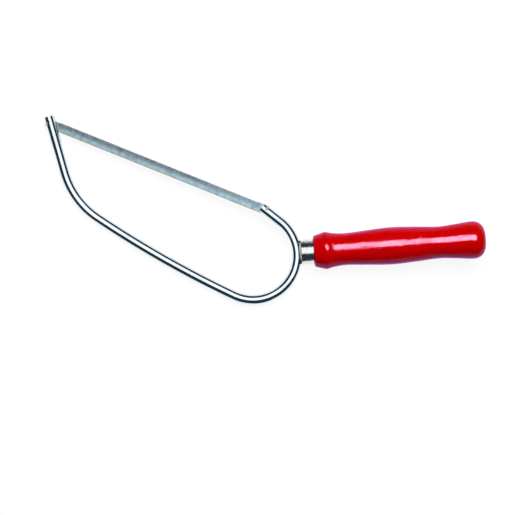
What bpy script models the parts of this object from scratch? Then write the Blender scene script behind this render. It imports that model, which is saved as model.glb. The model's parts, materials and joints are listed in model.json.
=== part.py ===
"""Mini hacksaw: a bent-rod spring bow, a pin-ended blade and a turned wooden handle.

The saw is modelled with its bow in the XY plane. X runs along the handle's axis, from the ferrule's
front face towards the butt, and Y points from the bow's spine towards the blade. The whole saw then
hangs on one empty, which lays it on a flat surface the way it lies on a bench.
"""
import math

import bmesh
import bpy
from mathutils import Matrix, Vector

for leftover in list(bpy.data.objects):
    bpy.data.objects.remove(leftover, do_unlink=True)

MM = 0.001

# Free space between pieces that touch on the real saw
GAP = 0.3 * MM

# Bow: a round rod, with its bends measured along the centreline
ROD_RADIUS = 3.15 * MM
ROD_SIDES = 20
LOOP_RADIUS = 27.3 * MM
LOOP_TURN_TO_SPINE = math.radians(119.4)
REAR_LOOP_RADIUS = 26.5 * MM
LOOP_TURN_TO_REAR = math.radians(47.8)
REAR_STRAIGHT = 15 * MM
SPINE_RADIUS = 650 * MM
SPINE_TURN = math.radians(8.6)
BEND_RADIUS = 50 * MM
BEND_TURN = math.radians(40.2)
TIP_STRAIGHT = 36.5 * MM
ARC_STEP = math.radians(6)

# Rod ends: a slit for the blade and a slanting cross notch for its pin
PIN_FROM_END = 3.4 * MM
PIN_OUT_FROM_AXIS = 0.8 * MM
FRONT_SLIT_DEPTH = 17.5 * MM
REAR_SLIT_DEPTH = 9 * MM
FRONT_NOTCH_SLANT = math.radians(24.5)
NOTCH_FLARE = math.radians(3)
NOTCH_FLOOR_STEPS = 8
CUT_REACH = 6 * MM

# Blade and its cross pins
BLADE_WIDTH = 5.8 * MM
BLADE_THICKNESS = 0.65 * MM
BLADE_PAST_PIN = 1.8 * MM
BLADE_CORNER = 1.1 * MM
HOLE_TOWARD_TEETH = 0.55 * MM
HOLE_CUT_LENGTH = 2.5 * MM
TOOTH_PITCH = 0.79 * MM
TOOTH_DEPTH = 0.5 * MM
TEETH_FROM_PIN = 6.5 * MM
PIN_RADIUS = 0.6 * MM
PIN_LENGTH = 5 * MM
PIN_CHAMFER = 0.2 * MM
PIN_SIDES = 16

# Ferrule: a drawn cup over the handle's spigot, with a saddle in its front for the loop's crest
FERRULE_RADIUS = 7.8 * MM
FERRULE_LENGTH = 8 * MM
FERRULE_WALL = 0.7 * MM
FERRULE_FRONT_WALL = 2 * MM
FERRULE_EDGE = 0.6 * MM
SADDLE_DEPTH = 0.9 * MM
SADDLE_REACH = 16 * MM

# Weld fillets in the corners between the loop's crest and the ferrule's front
WELD_REACH = 6.3 * MM
WELD_LEG = 1 * MM
WELD_STEPS = 12

# Tang: a round spike, driven into the handle
TANG_RADIUS = 2.5 * MM
TANG_SHANK = 10 * MM
TANG_TAPER_END = 48 * MM
TANG_TAPER_RADIUS = 1.6 * MM
TANG_LENGTH = 54 * MM

# Handle: radius at distances from its front face
HANDLE_LENGTH = 106 * MM
HANDLE_SIDES = 40
HANDLE_FRONT_RADIUS = 9.55 * MM
HANDLE_SWELLS = [
    (5.9 * MM, 11.25 * MM),
    (7.5 * MM, 11.55 * MM),
    (11.9 * MM, 10.55 * MM),
    (19.3 * MM, 9.9 * MM),
    (30 * MM, 10.5 * MM),
    (47.3 * MM, 11.55 * MM),
    (63 * MM, 10.85 * MM),
    (77.5 * MM, 9.9 * MM),
    (88 * MM, 10.65 * MM),
    (99 * MM, 11.65 * MM),
]
BUTT_FLAT_RADIUS = 5 * MM
SWELL_STEPS = 3
BUTT_STEPS = 6

# Lying on a surface: the handle's front swell and the front bend touch it
REST_BEND_TURN = math.radians(4)
REST_SWELL = HANDLE_SWELLS[1]

SHARP_ANGLE = math.radians(35)


def finish(name, colour, roughness, metallic):
    """A plain surface finish."""
    material = bpy.data.materials.new(name)
    material.use_nodes = True
    surface = material.node_tree.nodes["Principled BSDF"]
    surface.inputs["Base Color"].default_value = (*colour, 1)
    surface.inputs["Roughness"].default_value = roughness
    surface.inputs["Metallic"].default_value = metallic
    return material


def toward(heading):
    """Unit vector in the bow's plane."""
    return Vector((math.cos(heading), math.sin(heading), 0))


SAW = bpy.data.objects.new("saw", None)
bpy.context.collection.objects.link(SAW)


def place_in_saw(piece):
    """Where a piece's origin lies in the saw's own frame."""
    place = Vector()
    while piece is not SAW:
        place += piece.location
        piece = piece.parent
    return place


def add_piece(name, shape, material, pivot=Vector(), parent=SAW):
    """Turn a shape, given in the saw's frame, into a piece whose origin is its pivot."""
    bmesh.ops.recalc_face_normals(shape, faces=shape.faces)
    bmesh.ops.translate(shape, verts=shape.verts, vec=-pivot)
    mesh = bpy.data.meshes.new(name)
    shape.to_mesh(mesh)
    shape.free()
    mesh.shade_smooth()
    mesh.set_sharp_from_angle(angle=SHARP_ANGLE)
    if material:
        mesh.materials.append(material)
    piece = bpy.data.objects.new(name, mesh)
    bpy.context.collection.objects.link(piece)
    piece.parent = parent
    piece.location = pivot - place_in_saw(parent)
    return piece


def cut(piece, name, shape):
    """Cut a shape, given in the saw's frame, out of a piece."""
    cutter = add_piece(name, shape, None)
    cutter.hide_render = True
    cutter.display_type = "WIRE"
    boolean = piece.modifiers.new(name, "BOOLEAN")
    boolean.operation = "DIFFERENCE"
    boolean.object = cutter


def walk(start, runs):
    """Stations (point, heading) along runs of (length, turn), from a first station."""
    stations = [start]
    for length, turn in runs:
        steps = max(1, math.ceil(abs(turn) / ARC_STEP))
        half = turn / steps / 2
        chord = length / steps
        if turn:
            chord *= math.sin(half) / half
        for _ in range(steps):
            point, heading = stations[-1]
            stations.append((point + toward(heading + half) * chord, heading + 2 * half))
    return stations


def turned_back(stations):
    """The same stations, walked the other way."""
    return [(point, heading + math.pi) for point, heading in reversed(stations)]


def rod(stations, radius):
    """Round rod along a centreline in the bow's plane, with flat ends."""
    shape = bmesh.new()
    rings = []
    for point, heading in stations:
        across = toward(heading + math.pi / 2)
        ring = []
        for side in range(ROD_SIDES):
            angle = 2 * math.pi * side / ROD_SIDES
            up = Vector((0, 0, math.sin(angle)))
            ring.append(shape.verts.new(point + radius * (math.cos(angle) * across + up)))
        rings.append(ring)
    for ring, following in zip(rings, rings[1:]):
        for side in range(ROD_SIDES):
            after = (side + 1) % ROD_SIDES
            shape.faces.new((ring[side], ring[after], following[after], following[side]))
    shape.faces.new(rings[0])
    shape.faces.new(rings[-1])
    return shape


def turned(outline, sides):
    """Shape turned about the handle's axis, from an outline of (distance, radius)."""
    shape = bmesh.new()
    verts = [shape.verts.new((along, radius, 0)) for along, radius in outline]
    edges = [shape.edges.new(pair) for pair in zip(verts, verts[1:])]
    bmesh.ops.spin(
        shape, geom=verts + edges, cent=(0, 0, 0), axis=(1, 0, 0),
        angle=2 * math.pi, steps=sides, use_merge=True,
    )
    bmesh.ops.remove_doubles(shape, verts=shape.verts, dist=GAP / 1000)
    return shape


def plate(outline, low, high):
    """Flat shape of an outline in the bow's plane, from one height to another."""
    shape = bmesh.new()
    face = shape.faces.new([shape.verts.new((point.x, point.y, low)) for point in outline])
    raised = bmesh.ops.extrude_face_region(shape, geom=[face])
    lifted = [item for item in raised["geom"] if isinstance(item, bmesh.types.BMVert)]
    bmesh.ops.translate(shape, verts=lifted, vec=(0, 0, high - low))
    return shape


def cross_pin(centre, radius, length, chamfer):
    """Round pin across the bow's plane, with a chamfer at both ends."""
    shape = bmesh.new()
    half = length / 2
    levels = [(-half, radius - chamfer), (half, radius - chamfer)]
    if chamfer:
        levels[1:1] = [(-half + chamfer, radius), (half - chamfer, radius)]
    rings = []
    for height, ring_radius in levels:
        place = Matrix.Translation(centre + Vector((0, 0, height)))
        made = bmesh.ops.create_circle(shape, segments=PIN_SIDES, radius=ring_radius, matrix=place)
        rings.append(list({edge for vert in made["verts"] for edge in vert.link_edges}))
    for ring, following in zip(rings, rings[1:]):
        bmesh.ops.bridge_loops(shape, edges=ring + following)
    bmesh.ops.contextual_create(shape, geom=rings[0])
    bmesh.ops.contextual_create(shape, geom=rings[-1])
    return shape


# Bow centreline, from the loop's crest both ways
crest = Vector((SADDLE_DEPTH - ROD_RADIUS, 0, 0))
half_spine = (SPINE_RADIUS * SPINE_TURN - GAP) / 2
half_spine_turn = SPINE_TURN / 2
crest_to_flex = walk((crest, -math.pi / 2), [
    (LOOP_RADIUS * LOOP_TURN_TO_SPINE, -LOOP_TURN_TO_SPINE),
    (half_spine, -half_spine_turn),
])
crest_to_rear = walk((crest, math.pi / 2), [
    (REAR_LOOP_RADIUS * LOOP_TURN_TO_REAR, LOOP_TURN_TO_REAR),
    (REAR_STRAIGHT, 0),
])
flex_edge, flex_heading = crest_to_flex[-1]
flex_point = flex_edge + toward(flex_heading) * GAP / 2
flex_to_bend = walk((flex_edge + toward(flex_heading) * GAP, flex_heading), [
    (half_spine, -half_spine_turn),
])
bend_to_tip = walk(flex_to_bend[-1], [
    (BEND_RADIUS * BEND_TURN, -BEND_TURN),
    (TIP_STRAIGHT, 0),
])
bow_rear_line = turned_back(crest_to_flex) + crest_to_rear[1:]
near_crest = [station for station in bow_rear_line if (station[0] - crest).length < SADDLE_REACH]
tip, tip_heading = bend_to_tip[-1]
rear_end, rear_heading = crest_to_rear[-1]
tip_outward = tip_heading + math.pi / 2
rear_outward = rear_heading - math.pi / 2

# The pins sit in the notches, and the blade lies between them
front_pin = tip - toward(tip_heading) * PIN_FROM_END + toward(tip_outward) * PIN_OUT_FROM_AXIS
rear_pin = rear_end - toward(rear_heading) * PIN_FROM_END + toward(rear_outward) * PIN_OUT_FROM_AXIS
blade_heading = math.atan2(rear_pin.y - front_pin.y, rear_pin.x - front_pin.x)
blade_span = (rear_pin - front_pin).length
tooth_side = blade_heading + math.pi / 2


def slit(end, heading, depth):
    """Lengthwise slit in a rod's end, in the bow's plane."""
    along = toward(heading)
    across = toward(heading + math.pi / 2) * CUT_REACH
    corners = [end - along * depth, end + along * CUT_REACH]
    outline = [corners[0] - across, corners[1] - across, corners[1] + across, corners[0] + across]
    half = BLADE_THICKNESS / 2 + GAP
    return plate(outline, -half, half)


def notch(pin, end_heading, outward, end_lean, inner_lean):
    """Cross notch round a pin, open to the outside, with a lean for each of its walls."""
    to_end = toward(end_heading)
    out = toward(outward)
    radius = PIN_RADIUS + GAP
    first = -end_lean
    last = -math.pi + inner_lean
    outline = []
    for step in range(NOTCH_FLOOR_STEPS + 1):
        angle = first + (last - first) * step / NOTCH_FLOOR_STEPS
        outline.append(pin + radius * (math.cos(angle) * to_end + math.sin(angle) * out))
    end_wall = math.sin(end_lean) * to_end + math.cos(end_lean) * out
    inner_wall = -math.sin(inner_lean) * to_end + math.cos(inner_lean) * out
    outline.insert(0, outline[0] + end_wall * CUT_REACH)
    outline.append(outline[-1] + inner_wall * CUT_REACH)
    return plate(outline, -CUT_REACH, CUT_REACH)


def make_bow_rear(material):
    """Rear of the bow: half the spine, the loop and the rear end."""
    bow = add_piece("bow_rear", rod(bow_rear_line, ROD_RADIUS), material)
    cut(bow, "rear_slit", slit(rear_end, rear_heading, REAR_SLIT_DEPTH))
    slant = tooth_side - rear_outward
    leans = (slant, NOTCH_FLARE - slant)
    cut(bow, "rear_notch", notch(rear_pin, rear_heading, rear_outward, *leans))


def make_bow_front(material):
    """Front of the bow: half the spine, the front bend and the tip, turning at the flex point."""
    stations = flex_to_bend + bend_to_tip[1:]
    bow = add_piece("bow_front", rod(stations, ROD_RADIUS), material, pivot=flex_point)
    cut(bow, "front_slit", slit(tip, tip_heading, FRONT_SLIT_DEPTH))
    leans = (NOTCH_FLARE - FRONT_NOTCH_SLANT, NOTCH_FLARE + FRONT_NOTCH_SLANT)
    cut(bow, "front_notch", notch(front_pin, tip_heading, tip_outward, *leans))


def blade_outline():
    """Blade outline: plain ends with cut corners, and teeth along the outer edge between them."""
    back = -BLADE_WIDTH / 2 - HOLE_TOWARD_TEETH
    edge = BLADE_WIDTH / 2 - HOLE_TOWARD_TEETH
    low = -BLADE_PAST_PIN
    high = blade_span + BLADE_PAST_PIN
    flat = [
        (low, edge - BLADE_CORNER),
        (low, back + BLADE_CORNER),
        (low + BLADE_CORNER, back),
        (high - BLADE_CORNER, back),
        (high, back + BLADE_CORNER),
        (high, edge - BLADE_CORNER),
        (high - BLADE_CORNER, edge),
    ]
    teeth = int((blade_span - 2 * TEETH_FROM_PIN) / TOOTH_PITCH)
    last = blade_span - TEETH_FROM_PIN
    for tooth in range(teeth):
        point = last - tooth * TOOTH_PITCH
        flat.append((point, edge))
        flat.append((point, edge - TOOTH_DEPTH))
    flat.append((last - teeth * TOOTH_PITCH, edge))
    flat.append((low + BLADE_CORNER, edge))
    along = toward(blade_heading)
    across = toward(tooth_side)
    return [front_pin + x * along + y * across for x, y in flat]


def make_blade(material):
    """Saw blade with a pin hole at each end, turning about the front pin."""
    strip = plate(blade_outline(), -BLADE_THICKNESS / 2, BLADE_THICKNESS / 2)
    blade = add_piece("saw_blade", strip, material, pivot=front_pin)
    for name, pin in (("front_pin_hole", front_pin), ("rear_pin_hole", rear_pin)):
        cut(blade, name, cross_pin(pin, PIN_RADIUS + GAP, HOLE_CUT_LENGTH, 0))
    return blade


def make_pin(name, centre, material, blade):
    """One of the cross pins that the blade carries."""
    shape = cross_pin(centre, PIN_RADIUS, PIN_LENGTH, PIN_CHAMFER)
    add_piece(name, shape, material, pivot=centre, parent=blade)


def make_weld(name, side, material):
    """Weld fillet above (side 1) or below (side -1) the crest, from the rod to the ferrule's front."""
    shape = bmesh.new()
    centre = crest - Vector((LOOP_RADIUS, 0, 0))
    radius = ROD_RADIUS + GAP
    sections = []
    for step in range(WELD_STEPS + 1):
        foot = Vector((-GAP, WELD_REACH * (2 * step / WELD_STEPS - 1), 0))
        outward = (foot - centre).normalized()
        axis_point = centre + outward * LOOP_RADIUS
        corner_turn = math.acos((foot - axis_point).dot(outward) / radius)
        rod_turn = corner_turn + WELD_LEG / radius
        rise = radius * math.sin(corner_turn)
        up = Vector((0, 0, side))
        sections.append([shape.verts.new(point) for point in (
            foot + up * rise,
            foot + up * (rise + WELD_LEG),
            axis_point + radius * (math.cos(rod_turn) * outward + math.sin(rod_turn) * up),
        )])
    for section, following in zip(sections, sections[1:]):
        for corner in range(len(section)):
            after = (corner + 1) % len(section)
            shape.faces.new((section[corner], section[after], following[after], following[corner]))
    shape.faces.new(sections[0])
    shape.faces.new(sections[-1])
    add_piece(name, shape, material)


def make_ferrule(material):
    """Drawn steel cup with a rounded front edge, a saddle for the crest and a hole for the tang."""
    hole = TANG_RADIUS + GAP
    bore = FERRULE_RADIUS - FERRULE_WALL
    edge_turn = FERRULE_EDGE * (1 - math.sqrt(0.5))
    cup = turned([
        (0, hole),
        (0, FERRULE_RADIUS - FERRULE_EDGE),
        (edge_turn, FERRULE_RADIUS - edge_turn),
        (FERRULE_EDGE, FERRULE_RADIUS),
        (FERRULE_LENGTH, FERRULE_RADIUS),
        (FERRULE_LENGTH, bore),
        (FERRULE_FRONT_WALL, bore),
        (FERRULE_FRONT_WALL, hole),
        (0, hole),
    ], HANDLE_SIDES)
    ferrule = add_piece("ferrule", cup, material)
    cut(ferrule, "crest_saddle", rod(near_crest, ROD_RADIUS + GAP))


def tang_outline(clearance):
    """Outline of the tang from the crest back, or of the hole that takes it."""
    front = SADDLE_DEPTH + GAP - clearance
    return [
        (front, 0),
        (front, TANG_RADIUS + clearance),
        (TANG_SHANK, TANG_RADIUS + clearance),
        (TANG_TAPER_END, TANG_TAPER_RADIUS + clearance),
        (TANG_LENGTH + 2 * clearance, 0),
    ]


def smooth_outline(stations, first_slope, last_slope):
    """Points of a smooth curve through stations of (distance, radius), with set slopes at its ends."""
    slopes = [first_slope]
    for (x0, r0), (x1, r1) in zip(stations, stations[2:]):
        slopes.append((r1 - r0) / (x1 - x0))
    slopes.append(last_slope)
    points = [stations[0]]
    for index in range(len(stations) - 1):
        (x0, r0), (x1, r1) = stations[index:index + 2]
        run = x1 - x0
        for step in range(1, SWELL_STEPS + 1):
            t = step / SWELL_STEPS
            rise = r0 + (r1 - r0) * t * t * (3 - 2 * t)
            ease = t * (1 - t) * run * ((1 - t) * slopes[index] - t * slopes[index + 1])
            points.append((x0 + run * t, rise + ease))
    return points


def make_handle(material):
    """Turned wooden handle: spigot, shoulder, swells and a rounded butt with a small flat."""
    front = FERRULE_LENGTH + GAP
    spigot_radius = FERRULE_RADIUS - FERRULE_WALL - GAP
    cone_end, cone_end_radius = HANDLE_SWELLS[0]
    cone_slope = (cone_end_radius - HANDLE_FRONT_RADIUS) / cone_end
    knob, knob_radius = HANDLE_SWELLS[-1]
    swells = smooth_outline(HANDLE_SWELLS, cone_slope, 0)
    outline = [
        (FERRULE_FRONT_WALL + GAP, 0),
        (FERRULE_FRONT_WALL + GAP, spigot_radius),
        (front, spigot_radius),
        (front, HANDLE_FRONT_RADIUS),
    ]
    outline += [(front + along, radius) for along, radius in swells]
    for step in range(1, BUTT_STEPS + 1):
        angle = math.pi / 2 * step / BUTT_STEPS
        along = knob + (HANDLE_LENGTH - knob) * math.sin(angle)
        radius = BUTT_FLAT_RADIUS + (knob_radius - BUTT_FLAT_RADIUS) * math.cos(angle)
        outline.append((front + along, radius))
    outline.append((front + HANDLE_LENGTH, 0))
    handle = add_piece("handle", turned(outline, HANDLE_SIDES), material)
    cut(handle, "tang_hole", turned(tang_outline(GAP), PIN_SIDES))


def lay_on_surface():
    """Tilt the saw onto its front bend and the handle's front swell, and centre it on the origin."""
    touch, touch_heading = walk(flex_to_bend[-1], [(BEND_RADIUS * REST_BEND_TURN, -REST_BEND_TURN)])[-1]
    swell_along, swell_radius = REST_SWELL
    swell = Vector((FERRULE_LENGTH + GAP + swell_along, 0, 0))
    inward = toward(touch_heading - math.pi / 2)
    lever = (swell - touch).dot(inward)
    tilt = math.asin((swell_radius - ROD_RADIUS) / lever)
    SAW.rotation_mode = "AXIS_ANGLE"
    SAW.rotation_axis_angle = (tilt, *-toward(touch_heading))
    bpy.context.view_layer.update()
    graph = bpy.context.evaluated_depsgraph_get()
    points = []
    for piece in bpy.context.collection.objects:
        if piece.type == "MESH" and not piece.hide_render:
            mesh = piece.evaluated_get(graph).to_mesh()
            points += [piece.matrix_world @ vert.co for vert in mesh.vertices]
    low = Vector([min(point[axis] for point in points) for axis in range(3)])
    high = Vector([max(point[axis] for point in points) for axis in range(3)])
    SAW.location = (-(low.x + high.x) / 2, -(low.y + high.y) / 2, -low.z)


rod_rear_finish = finish("plated_rod_rear", (0.72, 0.75, 0.78), 0.18, 1.0)
rod_front_finish = finish("plated_rod_front", (0.72, 0.75, 0.78), 0.18, 1.0)
blade_steel = finish("blade_steel", (0.42, 0.49, 0.53), 0.42, 1.0)
front_pin_steel = finish("front_pin_steel", (0.5, 0.52, 0.54), 0.35, 1.0)
rear_pin_steel = finish("rear_pin_steel", (0.5, 0.52, 0.54), 0.35, 1.0)
upper_weld_metal = finish("upper_weld_metal", (0.45, 0.46, 0.47), 0.45, 1.0)
lower_weld_metal = finish("lower_weld_metal", (0.45, 0.46, 0.47), 0.45, 1.0)
ferrule_steel = finish("ferrule_steel", (0.66, 0.65, 0.63), 0.2, 1.0)
tang_steel = finish("tang_steel", (0.4, 0.4, 0.41), 0.5, 1.0)
red_lacquer = finish("red_lacquer", (0.6, 0.0, 0.0), 0.12, 0.0)

make_bow_rear(rod_rear_finish)
make_bow_front(rod_front_finish)
saw_blade = make_blade(blade_steel)
make_pin("front_blade_pin", front_pin, front_pin_steel, saw_blade)
make_pin("rear_blade_pin", rear_pin, rear_pin_steel, saw_blade)
make_weld("upper_weld", 1, upper_weld_metal)
make_weld("lower_weld", -1, lower_weld_metal)
make_ferrule(ferrule_steel)
add_piece("tang", turned(tang_outline(0), PIN_SIDES), tang_steel)
make_handle(red_lacquer)
lay_on_surface()
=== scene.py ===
"""Looks of the mini hacksaw: its pieces in the order in which it is put together, then the studio."""
import json
import math

import bmesh
import bpy
from mathutils import Matrix, Vector


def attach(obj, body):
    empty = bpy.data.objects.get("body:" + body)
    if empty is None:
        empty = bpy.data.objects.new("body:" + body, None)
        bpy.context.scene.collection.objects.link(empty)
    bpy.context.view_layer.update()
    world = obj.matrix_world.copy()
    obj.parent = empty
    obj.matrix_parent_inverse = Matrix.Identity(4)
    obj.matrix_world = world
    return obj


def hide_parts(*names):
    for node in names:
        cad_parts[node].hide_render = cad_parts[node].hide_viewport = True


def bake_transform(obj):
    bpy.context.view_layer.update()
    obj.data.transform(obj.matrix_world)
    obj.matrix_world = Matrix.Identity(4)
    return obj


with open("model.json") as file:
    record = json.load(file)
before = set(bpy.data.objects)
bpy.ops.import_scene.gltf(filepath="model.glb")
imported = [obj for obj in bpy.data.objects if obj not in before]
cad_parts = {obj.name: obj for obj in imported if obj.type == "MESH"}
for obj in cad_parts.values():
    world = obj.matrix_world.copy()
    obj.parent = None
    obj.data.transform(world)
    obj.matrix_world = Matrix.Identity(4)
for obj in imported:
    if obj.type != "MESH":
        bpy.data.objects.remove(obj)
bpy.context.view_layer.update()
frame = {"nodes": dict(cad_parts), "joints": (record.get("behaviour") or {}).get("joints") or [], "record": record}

# Bow: one round spring-steel rod, bent cold into a tip, a wide front bend, a slightly bowed spine and
# a loop, then plated bright. Each end is sawn down its middle for the blade and notched from outside
# for the blade's cross pin.
MM = 0.001
GAP = 0.3 * MM
ROD_RADIUS = 3.15 * MM
ROD_SIDES = 64
ROD_END_BREAK = 0.35 * MM
SADDLE_DEPTH = 0.9 * MM
LOOP_RADIUS = 27.3 * MM
LOOP_TURN_TO_SPINE = math.radians(119.4)
REAR_LOOP_RADIUS = 26.5 * MM
LOOP_TURN_TO_REAR = math.radians(47.8)
REAR_STRAIGHT = 15 * MM
SPINE_RADIUS = 650 * MM
SPINE_TURN = math.radians(8.6)
BEND_RADIUS = 50 * MM
BEND_TURN = math.radians(40.2)
TIP_STRAIGHT = 36.5 * MM
ARC_STEP = math.radians(2.5)
RUN_STEP = 2.5 * MM
BLADE_THICKNESS = 0.65 * MM
PIN_RADIUS = 0.6 * MM
PIN_PLAY = 0.12 * MM
PIN_FROM_END = 3.4 * MM
PIN_OUT_FROM_AXIS = 0.8 * MM
FRONT_SLIT_DEPTH = 17.5 * MM
REAR_SLIT_DEPTH = 9 * MM
FRONT_NOTCH_SLANT = math.radians(24.5)
NOTCH_FLARE = math.radians(3)
NOTCH_FLOOR_STEPS = 16
CUT_REACH = 6 * MM
FERRULE_LENGTH = 8 * MM
HANDLE_LENGTH = 106 * MM
SHARP_ANGLE = math.radians(35)
SURFACE = "surface_mm"
HAZE_SPREAD = (0.42, 0.72)
ROD_TONES = ((0.79, 0.86, 0.92), (0.68, 0.76, 0.83))
ROD_SHINE = (0.04, 0.09)
DRAWN_DEPTH = 0.0006 * MM
NICK_DEPTH = 0.02 * MM
SAWN_TONES = ((0.3, 0.31, 0.33), (0.55, 0.57, 0.59))
SAWN_SHINE = (0.3, 0.5)
SAW_MARK_DEPTH = 0.02 * MM

butt = frame["record"]["mounts"][0]
joints = {joint["name"]: joint for joint in frame["joints"]}
along_handle = Vector(butt["axis"])
bow_normal = Vector(joints["blade_swing"]["axis"])
ferrule_front = Vector(butt["pos_m"]) - along_handle * (FERRULE_LENGTH + GAP + HANDLE_LENGTH)
saw_axes = Matrix((along_handle, bow_normal.cross(along_handle), bow_normal)).transposed()
saw_to_world = Matrix.Translation(ferrule_front) @ saw_axes.to_4x4()


def toward(heading):
    """Unit vector in the bow's plane."""
    return Vector((math.cos(heading), math.sin(heading), 0))


def walk(start, runs):
    """Stations (point, heading) along runs of (length, turn), from a first station."""
    stations = [start]
    for length, turn in runs:
        steps = max(math.ceil(abs(turn) / ARC_STEP), math.ceil(length / RUN_STEP))
        half = turn / steps / 2
        chord = length / steps
        if turn:
            chord *= math.sin(half) / half
        for _ in range(steps):
            point, heading = stations[-1]
            stations.append((point + toward(heading + half) * chord, heading + 2 * half))
    return stations


crest = Vector((SADDLE_DEPTH - ROD_RADIUS, 0, 0))
crest_to_tip = walk((crest, -math.pi / 2), [
    (LOOP_RADIUS * LOOP_TURN_TO_SPINE, -LOOP_TURN_TO_SPINE),
    (SPINE_RADIUS * SPINE_TURN, -SPINE_TURN),
    (BEND_RADIUS * BEND_TURN, -BEND_TURN),
    (TIP_STRAIGHT, 0),
])
crest_to_rear = walk((crest, math.pi / 2), [
    (REAR_LOOP_RADIUS * LOOP_TURN_TO_REAR, LOOP_TURN_TO_REAR),
    (REAR_STRAIGHT, 0),
])
tip, tip_heading = crest_to_tip[-1]
rear_end, rear_heading = crest_to_rear[-1]
tip_outward = tip_heading + math.pi / 2
rear_outward = rear_heading - math.pi / 2
front_pin = tip - toward(tip_heading) * PIN_FROM_END + toward(tip_outward) * PIN_OUT_FROM_AXIS
rear_pin = rear_end - toward(rear_heading) * PIN_FROM_END + toward(rear_outward) * PIN_OUT_FROM_AXIS
blade_heading = math.atan2(rear_pin.y - front_pin.y, rear_pin.x - front_pin.x)
tooth_side = blade_heading + math.pi / 2
front_notch_leans = (NOTCH_FLARE - FRONT_NOTCH_SLANT, NOTCH_FLARE + FRONT_NOTCH_SLANT)
rear_notch_leans = (tooth_side - rear_outward, NOTCH_FLARE - tooth_side + rear_outward)
bow_line = [(point, heading + math.pi) for point, heading in reversed(crest_to_tip)] + crest_to_rear[1:]
bow_reach = [0]
for (point, _), (following, _) in zip(bow_line, bow_line[1:]):
    bow_reach.append(bow_reach[-1] + (following - point).length)


def rod(stations, radius, end_break):
    """Round rod along a centreline in the bow's plane, with the edges of its flat ends broken."""
    (first, first_heading), (last, last_heading) = stations[0], stations[-1]
    rings = [(first, first_heading, radius - end_break)]
    rings.append((first + toward(first_heading) * end_break, first_heading, radius))
    rings += [(point, heading, radius) for point, heading in stations[1:-1]]
    rings.append((last - toward(last_heading) * end_break, last_heading, radius))
    rings.append((last, last_heading, radius - end_break))
    shape = bmesh.new()
    loops = []
    for point, heading, ring_radius in rings:
        across = toward(heading + math.pi / 2)
        loop = []
        for side in range(ROD_SIDES):
            angle = 2 * math.pi * side / ROD_SIDES
            up = Vector((0, 0, math.sin(angle)))
            loop.append(shape.verts.new(point + ring_radius * (math.cos(angle) * across + up)))
        loops.append(loop)
    for loop, following in zip(loops, loops[1:]):
        for side in range(ROD_SIDES):
            after = (side + 1) % ROD_SIDES
            shape.faces.new((loop[side], loop[after], following[after], following[side]))
    shape.faces.new(loops[0])
    shape.faces.new(loops[-1])
    return shape


def plate(outline, low, high):
    """Flat shape of an outline in the bow's plane, from one height to another."""
    shape = bmesh.new()
    face = shape.faces.new([shape.verts.new((point.x, point.y, low)) for point in outline])
    raised = bmesh.ops.extrude_face_region(shape, geom=[face])
    lifted = [item for item in raised["geom"] if isinstance(item, bmesh.types.BMVert)]
    bmesh.ops.translate(shape, verts=lifted, vec=(0, 0, high - low))
    return shape


def slit(end, heading, depth):
    """Lengthwise slit in a rod's end, in the bow's plane."""
    along = toward(heading)
    across = toward(heading + math.pi / 2) * CUT_REACH
    corners = [end - along * depth, end + along * CUT_REACH]
    outline = [corners[0] - across, corners[1] - across, corners[1] + across, corners[0] + across]
    half = BLADE_THICKNESS / 2 + GAP
    return plate(outline, -half, half)


def notch(pin, end_heading, outward, end_lean, inner_lean):
    """Cross notch round a pin, open to the outside, with a lean for each of its walls."""
    to_end = toward(end_heading)
    out = toward(outward)
    radius = PIN_RADIUS + PIN_PLAY
    first = -end_lean
    last = -math.pi + inner_lean
    outline = []
    for step in range(NOTCH_FLOOR_STEPS + 1):
        angle = first + (last - first) * step / NOTCH_FLOOR_STEPS
        outline.append(pin + radius * (math.cos(angle) * to_end + math.sin(angle) * out))
    end_wall = math.sin(end_lean) * to_end + math.cos(end_lean) * out
    inner_wall = -math.sin(inner_lean) * to_end + math.cos(inner_lean) * out
    outline.insert(0, outline[0] + end_wall * CUT_REACH)
    outline.append(outline[-1] + inner_wall * CUT_REACH)
    return plate(outline, -CUT_REACH, CUT_REACH)


def loose_object(name, shape):
    """A shape as an object with two empty material slots, the second one for cut faces."""
    bmesh.ops.recalc_face_normals(shape, faces=shape.faces)
    mesh = bpy.data.meshes.new(name)
    shape.to_mesh(mesh)
    shape.free()
    mesh.materials.append(None)
    mesh.materials.append(None)
    made = bpy.data.objects.new(name, mesh)
    bpy.context.scene.collection.objects.link(made)
    return made


def carved(shape, cutters):
    """A shape with the cutters' shapes taken out. Cut faces get the second material slot."""
    block = loose_object("block", shape)
    tools = []
    for cutter in cutters:
        for face in cutter.faces:
            face.material_index = 1
        tools.append(loose_object("tool", cutter))
        boolean = block.modifiers.new("cut", "BOOLEAN")
        boolean.operation = "DIFFERENCE"
        boolean.object = tools[-1]
    graph = bpy.context.evaluated_depsgraph_get()
    mesh = bpy.data.meshes.new_from_object(block.evaluated_get(graph))
    result = bmesh.new()
    result.from_mesh(mesh)
    for done in [block] + tools:
        bpy.data.objects.remove(done)
    bpy.data.meshes.remove(mesh)
    return result


def add_piece(name, shape, finishes, surface_of):
    """Turn a shape, given in the saw's frame, into a piece that keeps its surface coordinates."""
    piece = loose_object(name, shape)
    mesh = piece.data
    mesh.materials.clear()
    for finish in finishes:
        mesh.materials.append(finish)
    mesh.shade_smooth()
    mesh.set_sharp_from_angle(angle=SHARP_ANGLE)
    surface = mesh.attributes.new(SURFACE, "FLOAT_VECTOR", "POINT")
    for vert, item in zip(mesh.vertices, surface.data):
        item.vector = surface_of(vert.co) / MM
    mesh.transform(saw_to_world)
    return piece


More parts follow.
